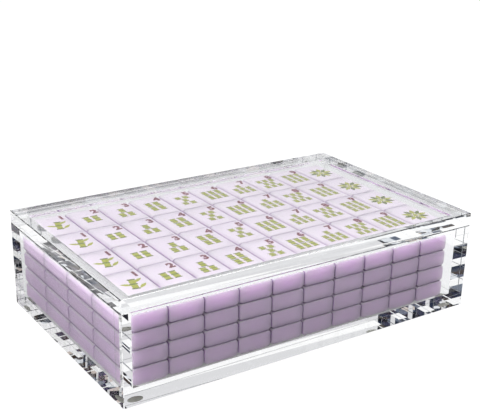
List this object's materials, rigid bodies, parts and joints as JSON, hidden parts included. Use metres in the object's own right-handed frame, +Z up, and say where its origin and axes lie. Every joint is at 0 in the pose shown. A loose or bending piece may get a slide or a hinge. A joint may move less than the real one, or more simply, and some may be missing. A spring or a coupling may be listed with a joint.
{
  "type": "mahjong case",
  "caption": "Clear acrylic case with thick bonded walls, a lift-off lid located between the walls, and rounded lilac mahjong tiles packed in layers.",
  "frame": {"origin": "middle of the case's footprint, on the plane that the feet stand on", "axes": "+X along the case's length, +Y from the front to the back, +Z up"},
  "size_m": [0.242, 0.148, 0.0641],
  "materials": {
    "clear_acrylic": "clear cast acrylic sheet, polished on its faces and edges",
    "foot_pad": "soft translucent grey polyurethane, moulded smooth",
    "tile_resin": "pale lilac moulded resin, satin and slightly glossy on its rounded edges",
    "green_paint": "yellow-green enamel rubbed into the engraving of the tile faces",
    "maroon_paint": "maroon enamel rubbed into the engraving of the tile faces"
  },
  "bodies": {
    "case": {"base": "clear_acrylic", "front_wall": "clear_acrylic", "back_wall": "clear_acrylic", "left_wall": "clear_acrylic", "right_wall": "clear_acrylic", "foot_front_left": "foot_pad", "foot_front_right": "foot_pad", "foot_back_left": "foot_pad", "foot_back_right": "foot_pad"},
    "tile_layer_1": {"tiles_east_wind": "tile_resin", "tiles_south_wind": "tile_resin", "tiles_west_wind": "tile_resin", "tiles_north_wind": "tile_resin", "tiles_flower_a": "tile_resin", "tiles_flower_b": "tile_resin", "tiles_joker_a": "tile_resin", "tiles_joker_b": "tile_resin", "tiles_blank_a": "tile_resin", "tiles_blank_b": "tile_resin"},
    "tile_layer_2": {"tiles_character_1": "tile_resin", "tiles_character_2": "tile_resin", "tiles_character_3": "tile_resin", "tiles_character_4": "tile_resin", "tiles_character_5": "tile_resin", "tiles_character_6": "tile_resin", "tiles_character_7": "tile_resin", "tiles_character_8": "tile_resin", "tiles_character_9": "tile_resin", "tiles_red_dragon": "tile_resin"},
    "tile_layer_3": {"tiles_dot_1": "tile_resin", "tiles_dot_2": "tile_resin", "tiles_dot_3": "tile_resin", "tiles_dot_4": "tile_resin", "tiles_dot_5": "tile_resin", "tiles_dot_6": "tile_resin", "tiles_dot_7": "tile_resin", "tiles_dot_8": "tile_resin", "tiles_dot_9": "tile_resin", "tiles_white_dragon": "tile_resin"},
    "tile_layer_4": {"tiles_bamboo_1": "tile_resin", "tiles_bamboo_2": "tile_resin", "tiles_bamboo_3": "tile_resin", "tiles_bamboo_4": "tile_resin", "tiles_bamboo_5": "tile_resin", "tiles_bamboo_6": "tile_resin", "tiles_bamboo_7": "tile_resin", "tiles_bamboo_8": "tile_resin", "tiles_bamboo_9": "tile_resin", "tiles_green_dragon": "tile_resin"},
    "lid": {"lid_top_sheet": "clear_acrylic", "lid_locating_sheet": "clear_acrylic"}
  },
  "joints": [
    {"name": "lift_layer_1", "type": "slide", "parent": "case", "child": "tile_layer_1", "axis": [0, 0, 1], "range_m": [0, 0.0485]},
    {"name": "lift_layer_2", "type": "slide", "parent": "tile_layer_1", "child": "tile_layer_2", "axis": [0, 0, 1], "range_m": [0, 0.0381]},
    {"name": "lift_layer_3", "type": "slide", "parent": "tile_layer_2", "child": "tile_layer_3", "axis": [0, 0, 1], "range_m": [0, 0.0277]},
    {"name": "lift_layer_4", "type": "slide", "parent": "tile_layer_3", "child": "tile_layer_4", "axis": [0, 0, 1], "range_m": [0, 0.0173]},
    {"name": "lift_lid", "type": "slide", "parent": "tile_layer_4", "child": "lid", "axis": [0, 0, 1], "range_m": [0, 0.04]}
  ]
}
